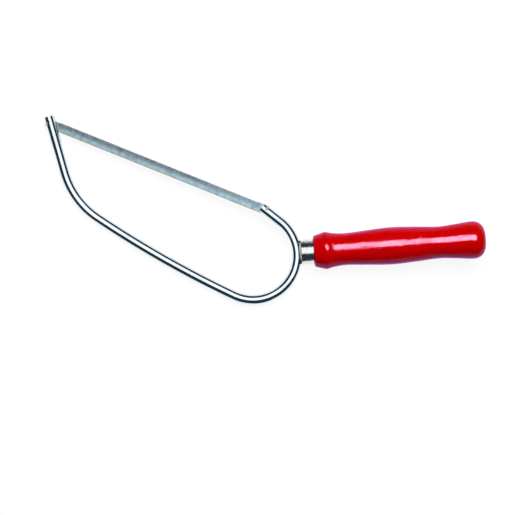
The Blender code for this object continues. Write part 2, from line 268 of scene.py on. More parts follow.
def along_bow(point):
    """A point's place on the bow: how far along the rod, how far across it, and its height."""
    flat = Vector((point.x, point.y, 0))
    nearest = min(range(len(bow_line)), key=lambda index: (bow_line[index][0] - flat).length_squared)
    station, heading = bow_line[nearest]
    travelled = bow_reach[nearest] + (flat - station).dot(toward(heading))
    return Vector((travelled, (flat - station).dot(toward(heading + math.pi / 2)), point.z))


def put(tree, kind, inputs=None, **settings):
    """Add a node to a tree: its settings by name, its inputs as values or as sockets to link."""
    made = tree.nodes.new("ShaderNode" + kind)
    for name, value in settings.items():
        setattr(made, name, value)
    for name, value in (inputs or {}).items():
        if isinstance(value, bpy.types.NodeSocket):
            tree.links.new(value, made.inputs[name])
        else:
            made.inputs[name].default_value = value
    return made


def reckon(tree, operation, *terms):
    """What an operation makes of its terms, which are values or sockets."""
    return put(tree, "Math", dict(enumerate(terms)), operation=operation).outputs[0]


def ranged(tree, value, low, high, first=0.0, last=1.0):
    """A value that goes from low to high where another goes from first to last."""
    limits = {"Value": value, "From Min": first, "From Max": last, "To Min": low, "To Max": high}
    return put(tree, "MapRange", limits).outputs["Result"]


def effect(name, inputs, output):
    """An empty node group with float inputs beside its surface coordinates, and one output."""
    group = bpy.data.node_groups.new(name, "ShaderNodeTree")
    group.interface.new_socket("Surface", in_out="INPUT", socket_type="NodeSocketVector")
    for label, value in inputs.items():
        socket = group.interface.new_socket(label, in_out="INPUT", socket_type="NodeSocketFloat")
        socket.default_value = value
    group.interface.new_socket(output, in_out="OUTPUT", socket_type="NodeSocketFloat")
    return group, group.nodes.new("NodeGroupInput").outputs, group.nodes.new("NodeGroupOutput").inputs


def make_drawn_lines():
    """Fine lines left along a piece by drawing, rolling or turning: 0 to 1."""
    group, given, out = effect("drawn_lines", {"Along": 0.05, "Across": 8.0}, "Lines")
    stretch = put(group, "CombineXYZ", {"X": given["Along"], "Y": given["Across"], "Z": given["Across"]})
    drawn = put(group, "VectorMath", {0: given["Surface"], 1: stretch.outputs[0]}, operation="MULTIPLY")
    noise = put(group, "TexNoise", {"Vector": drawn.outputs[0], "Scale": 1.0, "Detail": 3.0})
    group.links.new(noise.outputs["Fac"], out["Lines"])
    return group


def make_handling_haze():
    """Cloudy film and finger marks from handling: 0 clean to 1 dull."""
    group, given, out = effect("handling_haze", {"Size": 9.0}, "Haze")
    scale = reckon(group, "DIVIDE", 1.0, given["Size"])
    broad = put(group, "TexNoise", {"Vector": given["Surface"], "Scale": scale, "Detail": 4.0})
    group.links.new(ranged(group, broad.outputs["Fac"], 0.0, 1.0, *HAZE_SPREAD), out["Haze"])
    return group


def make_small_nicks():
    """Small dings and pits from use, as a mask: 1 in a nick."""
    group, given, out = effect("small_nicks", {"Spacing": 6.0, "Size": 0.06}, "Nicks")
    scale = reckon(group, "DIVIDE", 1.0, given["Spacing"])
    cells = put(group, "TexVoronoi", {"Vector": given["Surface"], "Scale": scale})
    nick = ranged(group, cells.outputs["Distance"], 0.0, 1.0, given["Size"], 0.0)
    group.links.new(nick, out["Nicks"])
    return group


drawn_lines = make_drawn_lines()
handling_haze = make_handling_haze()
small_nicks = make_small_nicks()


def start_finish(name):
    """A new material, its node tree, its surface shader and the surface coordinates it is drawn on."""
    material = bpy.data.materials.new(name)
    material.use_nodes = True
    tree = material.node_tree
    surface = put(tree, "Attribute", attribute_name=SURFACE).outputs["Vector"]
    return material, tree, tree.nodes["Principled BSDF"], surface


def apply_effect(tree, group, surface, **values):
    """One of the shared effects, placed in a material with its own values."""
    placed = put(tree, "Group", node_tree=group)
    tree.links.new(surface, placed.inputs["Surface"])
    for name, value in values.items():
        placed.inputs[name].default_value = value
    return placed.outputs[0]


def two_tone(tree, mask, low, high, first=0.0, last=1.0):
    """A colour that goes from low to high with a mask."""
    ramp = put(tree, "ValToRGB", {"Fac": mask})
    for element, place, colour in zip(ramp.color_ramp.elements, (first, last), (low, high)):
        element.position = place
        element.color = (*colour, 1)
    return ramp.outputs["Color"]


def relief(tree, height, depth, base=None):
    """A bump of a height from 0 to 1, with its depth in metres."""
    bump = put(tree, "Bump", {"Height": height, "Distance": depth, "Strength": 1.0})
    if base:
        tree.links.new(base, bump.inputs["Normal"])
    return bump.outputs["Normal"]


def lead_to(tree, shader, colour, roughness, normal):
    """Lead a finish's varying colour, roughness and relief to its shader."""
    tree.links.new(colour, shader.inputs["Base Color"])
    tree.links.new(roughness, shader.inputs["Roughness"])
    tree.links.new(normal, shader.inputs["Normal"])


def make_bright_plating(name, tones, shine):
    """Bright plating over drawn steel, with a faint haze and a few small nicks."""
    material, tree, shader, surface = start_finish(name)
    haze = apply_effect(tree, handling_haze, surface, Size=11.0)
    lines = apply_effect(tree, drawn_lines, surface, Along=0.04, Across=5.0)
    nicks = apply_effect(tree, small_nicks, surface, Spacing=7.0, Size=0.035)
    nicked = relief(tree, nicks, -NICK_DEPTH, relief(tree, lines, DRAWN_DEPTH))
    lead_to(tree, shader, two_tone(tree, haze, *tones), ranged(tree, haze, *shine), nicked)
    shader.inputs["Metallic"].default_value = 1.0
    return material


def make_lined_steel(name, tones, shine, depth, **spread):
    """Plain steel with the marks of the saw that cut it or of the die that drew it."""
    material, tree, shader, surface = start_finish(name)
    lines = apply_effect(tree, drawn_lines, surface, **spread)
    scored = relief(tree, lines, depth)
    lead_to(tree, shader, two_tone(tree, lines, *tones), ranged(tree, lines, *shine), scored)
    shader.inputs["Metallic"].default_value = 1.0
    return material


rod_plating = make_bright_plating("bright_rod_plating", ROD_TONES, ROD_SHINE)
sawn_steel = make_lined_steel(
    "sawn_rod_steel", SAWN_TONES, SAWN_SHINE, SAW_MARK_DEPTH, Along=6.0, Across=0.4,
)
bow_shape = carved(rod(bow_line, ROD_RADIUS, ROD_END_BREAK), [
    slit(tip, tip_heading, FRONT_SLIT_DEPTH),
    notch(front_pin, tip_heading, tip_outward, *front_notch_leans),
    slit(rear_end, rear_heading, REAR_SLIT_DEPTH),
    notch(rear_pin, rear_heading, rear_outward, *rear_notch_leans),
])
bow = add_piece("bow_rod", bow_shape, [rod_plating, sawn_steel], along_bow)
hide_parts("bow_rear", "bow_front")
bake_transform(bow)

# Weld: two fillets of steel run into the corners where the loop's crest sits in the ferrule's front,
# one on each face of the saw. They were ground back lightly and plated together with the rod.
WELD_REACH = 6.3 * MM
WELD_LEG = 1 * MM
WELD_SINK = 0.05 * MM
WELD_HOLLOW = 0.55
WELD_END_SHARE = 0.45
WELD_END_POWER = 6
WELD_RIPPLES = 11
WELD_RIPPLE_SHARE = 0.08
WELD_STEPS = 120
WELD_FACE_STEPS = 6
WELD_TONES = ((0.8, 0.83, 0.86), (0.6, 0.63, 0.66))
WELD_SHINE = (0.08, 0.2)


def weld_section(share, up):
    """Points of a fillet's section: its corner, then its hollow face from the ferrule to the rod."""
    centre = crest - Vector((LOOP_RADIUS, 0, 0))
    foot = Vector((WELD_SINK, WELD_REACH * share, 0))
    outward = (foot - centre).normalized()
    axis_point = centre + outward * LOOP_RADIUS
    radius = ROD_RADIUS - WELD_SINK
    fullness = WELD_END_SHARE + (1 - WELD_END_SHARE) * math.sqrt(1 - share ** WELD_END_POWER)
    leg = WELD_LEG * fullness * (1 + WELD_RIPPLE_SHARE * math.sin(WELD_RIPPLES * math.pi * share))
    corner_turn = math.acos((foot - axis_point).dot(outward) / radius)
    rod_turn = corner_turn + leg / radius
    corner = foot + up * radius * math.sin(corner_turn)
    face_toe = corner + up * leg
    rod_toe = axis_point + radius * (math.cos(rod_turn) * outward + math.sin(rod_turn) * up)
    bulge = (face_toe + rod_toe) / 2 * (1 - WELD_HOLLOW) + corner * WELD_HOLLOW
    points = [corner]
    for step in range(WELD_FACE_STEPS + 1):
        t = step / WELD_FACE_STEPS
        points.append(face_toe * (1 - t) ** 2 + bulge * 2 * t * (1 - t) + rod_toe * t ** 2)
    return points


def weld_shape(side):
    """Fillet above (side 1) or below (side -1) the crest, rippled as the weld pool froze."""
    shape = bmesh.new()
    sections = []
    for step in range(WELD_STEPS + 1):
        points = weld_section(2 * step / WELD_STEPS - 1, Vector((0, 0, side)))
        sections.append([shape.verts.new(point) for point in points])
    for section, following in zip(sections, sections[1:]):
        for corner in range(len(section)):
            after = (corner + 1) % len(section)
            shape.faces.new((section[corner], section[after], following[after], following[corner]))
    shape.faces.new(sections[0])
    shape.faces.new(sections[-1])
    return shape


def in_saw(point):
    """A point's place in the saw's own frame."""
    return point


weld_plating = make_bright_plating("weld_plating", WELD_TONES, WELD_SHINE)
welds = []
for weld_name, node, side in (("upper_fillet", "upper_weld", 1), ("lower_fillet", "lower_weld", -1)):
    weld = add_piece(weld_name, weld_shape(side), [weld_plating], in_saw)
    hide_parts(node)
    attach(weld, "frame")
    welds.append(weld)

# Ferrule: a short cup drawn from steel, polished and plated. Its front has a saddle for the loop's
# crest, and it is pressed over the handle's spigot, where it keeps the wood from splitting.
FERRULE_RADIUS = 7.8 * MM
FERRULE_WALL = 0.7 * MM
FERRULE_FRONT_WALL = 2 * MM
FERRULE_EDGE = 0.6 * MM
FERRULE_LIP = 0.2 * MM
EDGE_STEPS = 8
TURNED_SIDES = 96
MERGE_REACH = GAP / 1000
SADDLE_PLAY = 0.02 * MM
SADDLE_REACH = 16 * MM
TANG_RADIUS = 2.5 * MM
FERRULE_TONES = ((0.83, 0.83, 0.81), (0.73, 0.73, 0.71))
FERRULE_SHINE = (0.0, 0.4)
STREAK_DEPTH = 0.12 * MM


def turned(outline, sides):
    """Shape turned about the handle's axis, from an outline of (distance, radius)."""
    shape = bmesh.new()
    verts = [shape.verts.new((along, radius, 0)) for along, radius in outline]
    edges = [shape.edges.new(pair) for pair in zip(verts, verts[1:])]
    bmesh.ops.spin(
        shape, geom=verts + edges, cent=(0, 0, 0), axis=(1, 0, 0),
        angle=2 * math.pi, steps=sides, use_merge=True,
    )
    bmesh.ops.remove_doubles(shape, verts=shape.verts, dist=MERGE_REACH)
    return shape


def arc(centre, radii, first, last, steps):
    """Points of an arc in the outline plane, as (distance, radius), by angle from the handle's axis."""
    points = []
    for step in range(steps + 1):
        angle = first + (last - first) * step / steps
        points.append((centre[0] + radii[0] * math.cos(angle), centre[1] + radii[1] * math.sin(angle)))
    return points


def ferrule_shape():
    """Cup with a round front edge, a broken rear lip, a hole for the tang and the crest's saddle."""
    hole = TANG_RADIUS + GAP
    bore = FERRULE_RADIUS - FERRULE_WALL
    edge = arc(
        (FERRULE_EDGE, FERRULE_RADIUS - FERRULE_EDGE), (FERRULE_EDGE, FERRULE_EDGE),
        math.pi, math.pi / 2, EDGE_STEPS,
    )
    lip = arc(
        (FERRULE_LENGTH - FERRULE_LIP, FERRULE_RADIUS - FERRULE_LIP), (FERRULE_LIP, FERRULE_LIP),
        math.pi / 2, 0, EDGE_STEPS,
    )
    inside = [(FERRULE_LENGTH, bore), (FERRULE_FRONT_WALL, bore), (FERRULE_FRONT_WALL, hole), (0, hole)]
    cup = turned([(0, hole)] + edge + lip + inside, TURNED_SIDES)
    near_crest = [station for station in bow_line if (station[0] - crest).length < SADDLE_REACH]
    return carved(cup, [rod(near_crest, ROD_RADIUS + SADDLE_PLAY, ROD_END_BREAK)])


def make_polished_plating():
    """Thin plating over polished steel, with uneven streaks round the cup where the polishing shows."""
    material, tree, shader, surface = start_finish("ferrule_plating")
    haze = apply_effect(tree, handling_haze, surface, Size=4.0)
    streaks = apply_effect(tree, drawn_lines, surface, Along=1.2, Across=0.3)
    colour = two_tone(tree, haze, *FERRULE_TONES)
    roughness = ranged(tree, streaks, *FERRULE_SHINE)
    lead_to(tree, shader, colour, roughness, relief(tree, streaks, STREAK_DEPTH))
    shader.inputs["Metallic"].default_value = 1.0
    return material


ferrule_plating = make_polished_plating()
ferrule = add_piece("ferrule_cup", ferrule_shape(), [ferrule_plating, ferrule_plating], in_saw)
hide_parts("ferrule")
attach(ferrule, "frame")

# Tang: a round steel spike, forged to a taper, welded to the crest and driven into the handle.
# It stays bare and dark from forging, and nothing of it shows on the finished saw.
SCALE_TONES = ((0.12, 0.12, 0.13), (0.36, 0.36, 0.37))
SCALE_SHINE = (0.65, 0.4)
SCALE_DEPTH = 0.05 * MM


def make_forged_steel():
    """Dark scale on forged steel."""
    material, tree, shader, _ = start_finish("forged_tang_steel")
    place = put(tree, "TexCoord").outputs["Object"]
    scale = put(tree, "TexNoise", {"Vector": place, "Scale": 600.0, "Detail": 4.0}).outputs["Fac"]
    colour = two_tone(tree, scale, *SCALE_TONES)
    roughness = ranged(tree, scale, *SCALE_SHINE)
    lead_to(tree, shader, colour, roughness, relief(tree, scale, SCALE_DEPTH))
    shader.inputs["Metallic"].default_value = 1.0
    return material


tang = frame["nodes"]["tang"]
tang.data.materials.clear()
tang.data.materials.append(make_forged_steel())

# Handle: turned from close-grained hardwood, with a spigot for the ferrule, two swells for the hand
# and a rounded butt, then dipped in glossy red lacquer. The grain still shows faintly through it.
HANDLE_FRONT_RADIUS = 9.55 * MM
HANDLE_FRONT_EDGE = 0.6 * MM
HANDLE_SWELLS = [
    (5.9 * MM, 11.25 * MM),
    (7.5 * MM, 11.55 * MM),
    (11.9 * MM, 10.55 * MM),
    (19.3 * MM, 9.9 * MM),
    (30 * MM, 10.5 * MM),
    (47.3 * MM, 11.55 * MM),
    (63 * MM, 10.85 * MM),
    (77.5 * MM, 9.9 * MM),
    (88 * MM, 10.65 * MM),
    (99 * MM, 11.65 * MM),
]
BUTT_FLAT_RADIUS = 5 * MM
SWELL_STEPS = 10
BUTT_STEPS = 20
TANG_SHANK = 10 * MM
TANG_TAPER_END = 48 * MM
TANG_TAPER_RADIUS = 1.6 * MM
TANG_LENGTH = 54 * MM
LACQUER_TONES = ((0.52, 0.0, 0.001), (0.62, 0.0, 0.001))
GRAIN_SPREAD = (0.3, 0.7)
LACQUER_SHINE = (0.06, 0.11)
RIM_DULLNESS = 0.28
RIM_FACING = (0.22, 0.5)
LACQUER_IOR = 1.2
GRAIN_DEPTH = 0.012 * MM
FILM_DEPTH = 0.08 * MM
SPECK_DEPTH = 0.1 * MM
DENT_DEPTH = 0.05 * MM


def smooth_outline(stations, first_slope, last_slope):
    """Points of a smooth curve through stations of (distance, radius), with set slopes at its ends."""
    slopes = [first_slope]
    for (x0, r0), (x1, r1) in zip(stations, stations[2:]):
        slopes.append((r1 - r0) / (x1 - x0))
    slopes.append(last_slope)
    points = [stations[0]]
    for index in range(len(stations) - 1):
        (x0, r0), (x1, r1) = stations[index:index + 2]
        run = x1 - x0
        for step in range(1, SWELL_STEPS + 1):
            t = step / SWELL_STEPS
            rise = r0 + (r1 - r0) * t * t * (3 - 2 * t)
            ease = t * (1 - t) * run * ((1 - t) * slopes[index] - t * slopes[index + 1])
            points.append((x0 + run * t, rise + ease))
    return points


def handle_shape():
    """Turned handle with its spigot and the hole for the tang."""
    front = FERRULE_LENGTH + GAP
    spigot_front = FERRULE_FRONT_WALL + GAP
    spigot_radius = FERRULE_RADIUS - FERRULE_WALL - GAP
    cone_end, cone_end_radius = HANDLE_SWELLS[0]
    cone_slope = (cone_end_radius - HANDLE_FRONT_RADIUS) / cone_end
    knob, knob_radius = HANDLE_SWELLS[-1]
    outline = [
        (TANG_LENGTH + 2 * GAP, 0),
        (TANG_TAPER_END, TANG_TAPER_RADIUS + GAP),
        (TANG_SHANK, TANG_RADIUS + GAP),
        (spigot_front, TANG_RADIUS + GAP),
        (spigot_front, spigot_radius),
        (front, spigot_radius),
        (front, HANDLE_FRONT_RADIUS - HANDLE_FRONT_EDGE),
        (front + HANDLE_FRONT_EDGE, HANDLE_FRONT_RADIUS + HANDLE_FRONT_EDGE * cone_slope),
    ]
    swells = smooth_outline(HANDLE_SWELLS, cone_slope, 0)
    outline += [(front + along, radius) for along, radius in swells]
    outline += arc(
        (front + knob, BUTT_FLAT_RADIUS), (HANDLE_LENGTH - knob, knob_radius - BUTT_FLAT_RADIUS),
        math.pi / 2, 0, BUTT_STEPS,
    )[1:]
    outline.append((front + HANDLE_LENGTH, 0))
    return turned(outline, TURNED_SIDES)


def make_red_lacquer():
    """Glossy red lacquer over turned wood: grain telegraphing through, an uneven film and a few nicks."""
    material, tree, shader, surface = start_finish("red_lacquer_on_wood")
    grain = apply_effect(tree, drawn_lines, surface, Along=0.09, Across=1.3)
    haze = apply_effect(tree, handling_haze, surface, Size=14.0)
    nicks = apply_effect(tree, small_nicks, surface, Spacing=9.0, Size=0.03)
    specks = apply_effect(tree, small_nicks, surface, Spacing=2.0, Size=0.4)
    film = put(tree, "TexNoise", {"Vector": surface, "Scale": 0.8, "Detail": 1.5}).outputs["Fac"]
    colour = two_tone(tree, grain, *LACQUER_TONES, *GRAIN_SPREAD)
    facing = put(tree, "LayerWeight", {"Blend": 0.5}).outputs["Facing"]
    dulled = ranged(tree, facing, 0.0, RIM_DULLNESS, *RIM_FACING)
    roughness = reckon(tree, "ADD", ranged(tree, haze, *LACQUER_SHINE), dulled)
    peeled = relief(tree, film, FILM_DEPTH, relief(tree, grain, GRAIN_DEPTH))
    dented = relief(tree, nicks, -DENT_DEPTH, relief(tree, specks, SPECK_DEPTH, peeled))
    lead_to(tree, shader, colour, roughness, dented)
    shader.inputs["IOR"].default_value = LACQUER_IOR
    return material


handle = add_piece("lacquered_handle", handle_shape(), [make_red_lacquer()], in_saw)
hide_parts("handle")
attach(handle, "frame")

# Blade: a thin strip of rolled carbon steel with fine teeth milled along its outer edge and pressed
# into a gentle wave for clearance. It has a hole near each end for its cross pin and a grey-blue tint.
BLADE_WIDTH = 5.8 * MM
BLADE_PAST_PIN = 1.8 * MM
BLADE_CORNER = 1.1 * MM
HOLE_TOWARD_TEETH = 0.55 * MM
HOLE_CUT_LENGTH = 2.5 * MM
BLADE_EDGE = 0.08 * MM
BACK_SHADE = 0.45 * MM
TOOTH_PITCH = 0.79 * MM
TOOTH_DEPTH = 0.5 * MM
TOOTH_FACE = 0.06 * MM
TEETH_FROM_PIN = 6.5 * MM
SET_BAND = 1.8 * MM
SET_WAVE = 5.7 * MM
SET_REACH = 0.14 * MM
PIN_SIDES = 48
BLADE_BACK = -BLADE_WIDTH / 2 - HOLE_TOWARD_TEETH
BLADE_FRONT = BLADE_WIDTH / 2 - HOLE_TOWARD_TEETH
PLAIN_TONES = ((0.35, 0.475, 0.52), (0.29, 0.395, 0.435))
# The darker band along the toothed edge is partly painted shade of the set teeth and partly the print's darker
# tone. It fades near the pins, where there are no teeth, and towards the rear.
SHADE_AND_PRINT_TONES = ((0.11, 0.15, 0.18), (0.235, 0.295, 0.34))
SHADE_AND_PRINT_SPREAD = (0.36, 0.64)
SHADE_AND_PRINT_EDGE_MM = (-1.6, 0.2)
SHADE_AND_PRINT_WANDER_MM = 1.0
SHADE_AND_PRINT_ENDS_MM = (-4.4, -6.6)
SHADE_AND_PRINT_END_SHARE = 0.3
SHADE_AND_PRINT_FADE_REACH = (0.66, 0.88)
SHADE_AND_PRINT_FADE_SHARE = 0.68
REAR_LIGHTER = 1.26
# Painted shade: a darker line along the back edge, in the same dark tone as the painted shadow round the front
# pin.
BACK_SHADE_SHARE = 0.8
PALE_ENDS_MM = (-0.8, 0.0)
# Painted shadow round the front pin, where it sits in its notch.
FRONT_PIN_SHADOW_MM = (1.5, 1.1)
PALE_END_TONE = (0.6, 0.63, 0.65, 1)
BLADE_SHADE_TONE = (0.07, 0.08, 0.09, 1)
BLADE_SHINE = (0.34, 0.48)
ROLLED_DEPTH = 0.006 * MM

blade_span = (rear_pin - front_pin).length
blade_to_saw = Matrix.Translation(front_pin) @ Matrix.Rotation(blade_heading, 4, "Z")


def blade_columns():
    """Where the strip is drawn: (distance from the front pin, back edge, toothed edge)."""
    low = -BLADE_PAST_PIN
    high = blade_span + BLADE_PAST_PIN
    cut_back, cut_edge = BLADE_BACK + BLADE_CORNER, BLADE_FRONT - BLADE_CORNER
    columns = [(low, cut_back, cut_edge), (low + BLADE_CORNER, BLADE_BACK, BLADE_FRONT)]
    teeth = int((blade_span - 2 * TEETH_FROM_PIN) / TOOTH_PITCH)
    for tooth in range(teeth, -1, -1):
        tooth_tip = blade_span - TEETH_FROM_PIN - tooth * TOOTH_PITCH
        columns.append((tooth_tip - TOOTH_FACE, BLADE_BACK, BLADE_FRONT - TOOTH_DEPTH))
        columns.append((tooth_tip, BLADE_BACK, BLADE_FRONT))
    columns += [(high - BLADE_CORNER, BLADE_BACK, BLADE_FRONT), (high, cut_back, cut_edge)]
    return columns


def blade_strip():
    """Strip with its teeth, its wavy set and its broken back edge, in the blade's own frame."""
    set_line = BLADE_FRONT - SET_BAND
    shape = bmesh.new()
    sides = {1: [], -1: []}
    for along, back, edge in blade_columns():
        toothed = min(along, blade_span - along) > TEETH_FROM_PIN
        swing = SET_REACH * math.sin(2 * math.pi * along / SET_WAVE) if toothed else 0
        rows = [
            (back, BLADE_THICKNESS / 2 - BLADE_EDGE),
            (back + BLADE_EDGE, BLADE_THICKNESS / 2),
            (set_line, BLADE_THICKNESS / 2),
            (BLADE_FRONT - SET_BAND / 2, BLADE_THICKNESS / 2),
            (edge, BLADE_THICKNESS / 2),
        ]
        for side, columns in sides.items():
            column = []
            for across, thick in rows:
                share = max(0, (across - set_line) / SET_BAND)
                column.append(shape.verts.new((along, across, side * thick + swing * share * share)))
            columns.append(column)
    for side in sides.values():
        for column, following in zip(side, side[1:]):
            for row in range(len(column) - 1):
                shape.faces.new((column[row], following[row], following[row + 1], column[row + 1]))
    for row in (0, -1):
        for index in range(len(sides[1]) - 1):
            shape.faces.new((
                sides[1][index][row], sides[1][index + 1][row],
                sides[-1][index + 1][row], sides[-1][index][row],
            ))
    for end in (0, -1):
        for row in range(len(sides[1][0]) - 1):
            shape.faces.new((
                sides[1][end][row], sides[1][end][row + 1],
                sides[-1][end][row + 1], sides[-1][end][row],
            ))
    return shape


def moved(shape, place):
    """A shape moved by a matrix."""
    bmesh.ops.transform(shape, matrix=place, verts=shape.verts)
    return shape


def cross_pin(length, rounding=0):
    """Round pin across the blade, centred on the origin, with square or rounded ends."""
    half = length / 2
    outline = [(-half, 0)]
    if rounding:
        radii = (rounding, rounding)
        centre = PIN_RADIUS - rounding
        outline += arc((-half + rounding, centre), radii, math.pi, math.pi / 2, EDGE_STEPS)
        outline += arc((half - rounding, centre), radii, math.pi / 2, 0, EDGE_STEPS)
    else:
        outline += [(-half, PIN_RADIUS), (half, PIN_RADIUS)]
    outline.append((half, 0))
    return moved(turned(outline, PIN_SIDES), Matrix.Rotation(math.pi / 2, 4, "Y"))


def on_blade(point):
    """A point's place in the blade's own frame."""
    return blade_to_saw.inverted() @ point


def blended(tree, mask, low, high):
    """A colour that goes from low to high with a mask, where each may vary itself."""
    factor, first, second, result = 0, 6, 7, 2
    mix = put(tree, "Mix", {factor: mask, first: low, second: high}, data_type="RGBA")
    return mix.outputs[result]


def make_blade_steel():
    """Rolled steel: grey-blue, with a darker band along the teeth that is partly painted shade of the set
    teeth and partly print, a painted shade line along its back, a painted shadow round the front pin in
    its notch, paler ends past the pins, and lighter towards the rear.
    """
    material, tree, shader, surface = start_finish("rolled_blade_steel")
    lines = apply_effect(tree, drawn_lines, surface, Along=0.15, Across=9.0)
    haze = apply_effect(tree, handling_haze, surface, Size=2.6)
    ragged = put(tree, "TexNoise", {"Vector": surface, "Scale": 1.1, "Detail": 4.0}).outputs["Fac"]
    place = put(tree, "SeparateXYZ", {"Vector": surface}).outputs
    span = blade_span / MM
    from_middle = reckon(tree, "SUBTRACT", place["X"], span / 2)
    past_pin = reckon(tree, "SUBTRACT", reckon(tree, "ABSOLUTE", from_middle), span / 2)

    # Painted shade of the set teeth, partly print: a darker band along the toothed edge with a wandering border,
    # fading near the pins and towards the rear.
    wander = ranged(tree, ragged, -SHADE_AND_PRINT_WANDER_MM, SHADE_AND_PRINT_WANDER_MM)
    shade_and_print_edge = ranged(tree, reckon(tree, "ADD", place["Y"], wander), 0.0, 1.0, *SHADE_AND_PRINT_EDGE_MM)
    shade_and_print_ends = ranged(tree, past_pin, SHADE_AND_PRINT_END_SHARE, 1.0, *SHADE_AND_PRINT_ENDS_MM)
    shade_and_print_fade = ranged(tree, place["X"], 1.0, SHADE_AND_PRINT_FADE_SHARE, *(reach * span for reach in SHADE_AND_PRINT_FADE_REACH))
    shade_and_print = reckon(tree, "MULTIPLY", shade_and_print_edge, reckon(tree, "MINIMUM", shade_and_print_ends, shade_and_print_fade))
    plain_tone = two_tone(tree, haze, *PLAIN_TONES)
    shade_and_print_tone = two_tone(tree, ragged, *SHADE_AND_PRINT_TONES, *SHADE_AND_PRINT_SPREAD)
    tinted = blended(tree, shade_and_print, plain_tone, shade_and_print_tone)
    lighter = ranged(tree, place["X"], 1.0, REAR_LIGHTER, 0.0, span)
    shaded = put(tree, "VectorMath", {0: tinted, "Scale": lighter}, operation="SCALE").outputs[0]

    # Painted shade along the back edge.
    back = ranged(tree, place["Y"], 0.0, BACK_SHADE_SHARE, (BLADE_BACK + BACK_SHADE) / MM, BLADE_BACK / MM)
    back_shaded = blended(tree, back, shaded, BLADE_SHADE_TONE)
    # The blade is paler at its ends past the pins.
    paled = blended(tree, ranged(tree, past_pin, 0.0, 1.0, *PALE_ENDS_MM), back_shaded, PALE_END_TONE)
    # Painted shadow round the front pin, where it sits in its notch.
    from_front_pin = put(tree, "CombineXYZ", {"X": place["X"], "Y": place["Y"]}).outputs[0]
    far = put(tree, "VectorMath", {0: from_front_pin}, operation="LENGTH").outputs["Value"]
    pin_shadowed = blended(tree, ranged(tree, far, 0.0, 1.0, *FRONT_PIN_SHADOW_MM), paled, BLADE_SHADE_TONE)

    lead_to(tree, shader, pin_shadowed, ranged(tree, haze, *BLADE_SHINE), relief(tree, lines, ROLLED_DEPTH))
    shader.inputs["Metallic"].default_value = 1.0
    return material


blade_steel = make_blade_steel()
holes = []
for pin_place in (0, blade_span):
    holes.append(moved(cross_pin(HOLE_CUT_LENGTH), Matrix.Translation((pin_place, 0, 0))))
strip = moved(carved(blade_strip(), holes), blade_to_saw)
blade = add_piece("toothed_blade", strip, [blade_steel, blade_steel], on_blade)
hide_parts("saw_blade")
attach(blade, "blade")

# Blade pins: two short pins of plain steel wire, cut off, rounded at both ends and pressed through
# the blade. They hook into the notches in the bow's ends. The front pin is coloured near-black as
# painted shade, for the shadow in its notch.
PIN_LENGTH = 5 * MM
PIN_ROUNDING = 0.2 * MM
# The front pin's near-black tones are painted shade of its notch; the rear pin keeps the wire's grey.
FRONT_PIN_SHADE_TONES = ((0.02, 0.027, 0.032), (0.06, 0.07, 0.08))
REAR_PIN_TONES = ((0.36, 0.38, 0.4), (0.52, 0.54, 0.56))
PIN_SHINE = (0.25, 0.4)
WIRE_LINE_DEPTH = 0.01 * MM

pins = []
for pin_name, node, pin_slot, centre, tones in (
    ("front_pin", "front_blade_pin", "front_pin_steel", front_pin, FRONT_PIN_SHADE_TONES),
    ("rear_pin", "rear_blade_pin", "rear_pin_steel", rear_pin, REAR_PIN_TONES),
):
    wire = moved(cross_pin(PIN_LENGTH, PIN_ROUNDING), Matrix.Translation(centre))
    finish = make_lined_steel(
        pin_name + "_wire", tones, PIN_SHINE, WIRE_LINE_DEPTH, Along=2.0, Across=6.0,
    )
    pin = add_piece(pin_name, wire, [finish], in_saw)
    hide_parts(node)
    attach(pin, "blade")
    pins.append(pin)

# Camera: straight above the bow's plane, with the handle rising slightly to the right, from far
# enough that the saw shows almost no perspective.
VIEW_CENTRE = Vector((-26.86, -1.29, 0)) * MM
HANDLE_RISE = math.radians(4.107)
VIEW_WIDTH = 319.3 * MM
LENS = 100.0
SENSOR = 36.0

photo_axes = saw_to_world @ Matrix.Translation(VIEW_CENTRE) @ Matrix.Rotation(-HANDLE_RISE, 4, "Z")
camera_data = bpy.data.cameras.new("camera")
camera_data.lens = LENS
camera_data.sensor_width = SENSOR
camera = bpy.data.objects.new("camera", camera_data)
camera.matrix_world = photo_axes @ Matrix.Translation((0, 0, VIEW_WIDTH * LENS / SENSOR))
bpy.context.scene.collection.objects.link(camera)
bpy.context.scene.camera = camera

# Floor: a sheet of matt white card, larger than any view of the saw. What the saw mirrors of it is
# as white as what shows behind the saw.
FLOOR_HALF = 4.0
FLOOR_GRID = 8
FLOOR_SINK = 0.05 * MM
FLOOR_TONE = (0.11, 0.11, 0.11, 1)
FLOOR_GLOW = 0.91
CARD_TOOTH_DEPTH = 0.02 * MM


def shown_rays(tree):
    """1 for rays that show the background: straight from the camera, mirrored or through glass."""
    path = put(tree, "LightPath").outputs
    mirrored = reckon(tree, "MAXIMUM", path["Is Glossy Ray"], path["Is Transmission Ray"])
    return reckon(tree, "MAXIMUM", path["Is Camera Ray"], mirrored)


def start_studio_finish(name):
    """A new material without a shader, its node tree and the place of each point on its object."""
    material = bpy.data.materials.new(name)
    material.use_nodes = True
    tree = material.node_tree
    tree.nodes.clear()
    return material, tree, put(tree, "TexCoord").outputs["Object"]


def make_card():
    """Matt white card with a faint tooth."""
    material, tree, place = start_studio_finish("white_card")
    tooth = put(tree, "TexNoise", {"Vector": place, "Scale": 900.0, "Detail": 2.0}).outputs["Fac"]
    toothy = relief(tree, tooth, CARD_TOOTH_DEPTH)
    matt = put(tree, "BsdfDiffuse", {"Color": FLOOR_TONE, "Normal": toothy})
    glow = put(tree, "Emission", {"Strength": ranged(tree, shown_rays(tree), 0.0, FLOOR_GLOW)})
    both = put(tree, "AddShader", {0: matt.outputs[0], 1: glow.outputs[0]})
    put(tree, "OutputMaterial", {"Surface": both.outputs[0]})
    return material


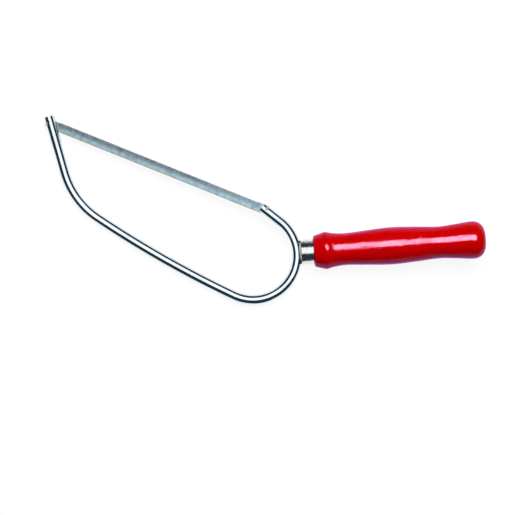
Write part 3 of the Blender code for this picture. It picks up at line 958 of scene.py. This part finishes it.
floor_shape = bmesh.new()
bmesh.ops.create_grid(floor_shape, x_segments=FLOOR_GRID, y_segments=FLOOR_GRID, size=FLOOR_HALF)
bmesh.ops.translate(floor_shape, verts=floor_shape.verts, vec=(0, 0, -FLOOR_SINK))
floor = loose_object("white_floor", floor_shape)
floor.data.materials.clear()
floor.data.materials.append(make_card())

# Dark tent: a dome of dull dark cloth over the saw and two aprons of it on the floor. Only what mirrors
# them shows them, as the dark lines along the bright rod and round the ferrule.
TENT_RADIUS = 3.5
TENT_SIDES = 48
TENT_RINGS = 12
TENT_TONE = ((0.014, 0.027, 0.038), (0.024, 0.039, 0.05))
APRON_LIFT = 0.5 * MM
APRON_FAR_MM = TENT_RADIUS / MM
WIDE_APRON_MM = [
    (-188, 250), (-188, 80), (-184, 62), (-178, 46), (-166, 30), (-150, 15), (-133, 2), (-117, -12),
    (-101, -23), (-86, -33), (-75, -40), (-67, -50), (-56, -72), (-42, -74), (-27, -61), (-7, -65),
    (53, -242), (200, -330), (200, -APRON_FAR_MM), (-APRON_FAR_MM, -APRON_FAR_MM), (-APRON_FAR_MM, 250),
]
NARROW_APRON_MM = [(-30, 75), (45, 75), (1000, APRON_FAR_MM), (-700, APRON_FAR_MM)]


def tent_shape():
    """Half a ball over the bow's plane."""
    shape = bmesh.new()
    rings = []
    for ring in range(TENT_RINGS):
        rise = math.pi / 2 * ring / TENT_RINGS
        height = Vector((0, 0, TENT_RADIUS * math.sin(rise)))
        headings = [2 * math.pi * side / TENT_SIDES for side in range(TENT_SIDES)]
        points = [toward(heading) * TENT_RADIUS * math.cos(rise) + height for heading in headings]
        rings.append([shape.verts.new(point) for point in points])
    for ring, following in zip(rings, rings[1:]):
        for side in range(TENT_SIDES):
            after = (side + 1) % TENT_SIDES
            shape.faces.new((ring[side], ring[after], following[after], following[side]))
    shape.faces.new(rings[-1])
    return shape


def make_cloth():
    """Dull dark cloth, slightly blue."""
    material, tree, place = start_studio_finish("dark_cloth")
    folds = put(tree, "TexNoise", {"Vector": place, "Scale": 6.0, "Detail": 3.0}).outputs["Fac"]
    cloth = put(tree, "Emission", {"Color": two_tone(tree, folds, *TENT_TONE), "Strength": 1.0})
    put(tree, "OutputMaterial", {"Surface": cloth.outputs[0]})
    return material


def apron_shape(edge):
    """Flat cloth on the floor, from an edge given in the saw's frame."""
    shape = bmesh.new()
    corners = [saw_to_world @ (Vector((along, across, 0)) * MM) for along, across in edge]
    shape.faces.new([shape.verts.new((corner.x, corner.y, APRON_LIFT)) for corner in corners])
    return shape


cloth = make_cloth()
tent = loose_object("dark_tent", tent_shape())
tent.matrix_world = saw_to_world
wide_apron = loose_object("wide_apron", apron_shape(WIDE_APRON_MM))
narrow_apron = loose_object("narrow_apron", apron_shape(NARROW_APRON_MM))
for hung in (tent, wide_apron, narrow_apron):
    hung.data.materials.clear()
    hung.data.materials.append(cloth)
    hung.visible_camera = False
    hung.visible_diffuse = False
    hung.visible_shadow = False

# Light: even white light from all round and a soft lamp towards the top of the picture. Three more
# lamps only show mirrored: a wide sheet of light over the bright metal, a strip for the handle's long
# highlight, and a faint violet sheet on the floor that tints the handle's rims.
AROUND_STRENGTH = 0.11
SOFT_LAMP_AT = {"place": (0.15, 0.5, 1.1), "aim": (0, 0, 0)}
SOFT_LAMP = {"size": (0.9, 0.7), "watts": 17.0}
SHEET_LAMP_AT = {"place": (0.03, 0.31, 1.0), "aim": (0.03, 0.31, 0)}
SHEET_LAMP = {"size": (1.14, 1.14), "watts": 4.9}
STRIP_LAMP_AT = {"place": (0.15, 0.34, 1.0), "aim": (0.15, 0.34, 0)}
STRIP_LAMP = {"size": (0.5, 0.63), "watts": 99.0}
STRIP_COLOUR = (1.0, 0.56, 0.88)
RIM_LAMP = {"size": (0.2, 0.16), "watts": 0.2}
RIM_LAMP_LIFT = 1 * MM
RIM_COLOUR = (0.42, 0.0, 0.85)


def aimed(place, aim):
    """Pose of a lamp, placed by the picture's right, up and towards the viewer, facing an aim."""
    facing = (Vector(place) - Vector(aim)).to_track_quat("Z", "Y").to_matrix().to_4x4()
    return photo_axes @ Matrix.Translation(place) @ facing


def add_lamp(name, pose, size, watts):
    """A flat lamp that the camera doesn't see."""
    lamp_data = bpy.data.lights.new(name, "AREA")
    lamp_data.shape = "RECTANGLE"
    lamp_data.size, lamp_data.size_y = size
    lamp_data.energy = watts
    lamp = bpy.data.objects.new(name, lamp_data)
    lamp.matrix_world = pose
    lamp.visible_camera = False
    bpy.context.scene.collection.objects.link(lamp)
    return lamp


def light_only(lamp, pieces):
    """Keep a lamp's light to some of the pieces."""
    lit = bpy.data.collections.new(lamp.name + "_pieces")
    for piece in pieces:
        lit.objects.link(piece)
    lamp.light_linking.receiver_collection = lit


soft_lamp = add_lamp("soft_lamp", aimed(**SOFT_LAMP_AT), **SOFT_LAMP)
soft_lamp.visible_glossy = False
sheet_lamp = add_lamp("sheet_lamp", aimed(**SHEET_LAMP_AT), **SHEET_LAMP)
sheet_lamp.visible_diffuse = False
light_only(sheet_lamp, [bow, ferrule, blade] + welds + pins)
strip_lamp = add_lamp("strip_lamp", aimed(**STRIP_LAMP_AT), **STRIP_LAMP)
strip_lamp.data.color = STRIP_COLOUR
strip_lamp.visible_diffuse = False
light_only(strip_lamp, [handle])
under_handle = saw_to_world @ Vector((FERRULE_LENGTH + HANDLE_LENGTH / 2, 0, 0))
under_handle.z = RIM_LAMP_LIFT
facing_up = Matrix.Translation(under_handle) @ Matrix.Rotation(math.pi, 4, "X")
rim_lamp = add_lamp("rim_lamp", facing_up, **RIM_LAMP)
rim_lamp.data.color = RIM_COLOUR
rim_lamp.visible_diffuse = False
light_only(rim_lamp, [handle])

world = bpy.data.worlds.new("white_studio")
world.use_nodes = True
bpy.context.scene.world = world
around = world.node_tree
around.nodes.clear()
brightness = ranged(around, shown_rays(around), AROUND_STRENGTH, 1.0)
sky = put(around, "Background", {"Strength": brightness})
put(around, "OutputWorld", {"Surface": sky.outputs[0]})
bpy.context.scene.view_settings.view_transform = "Standard"
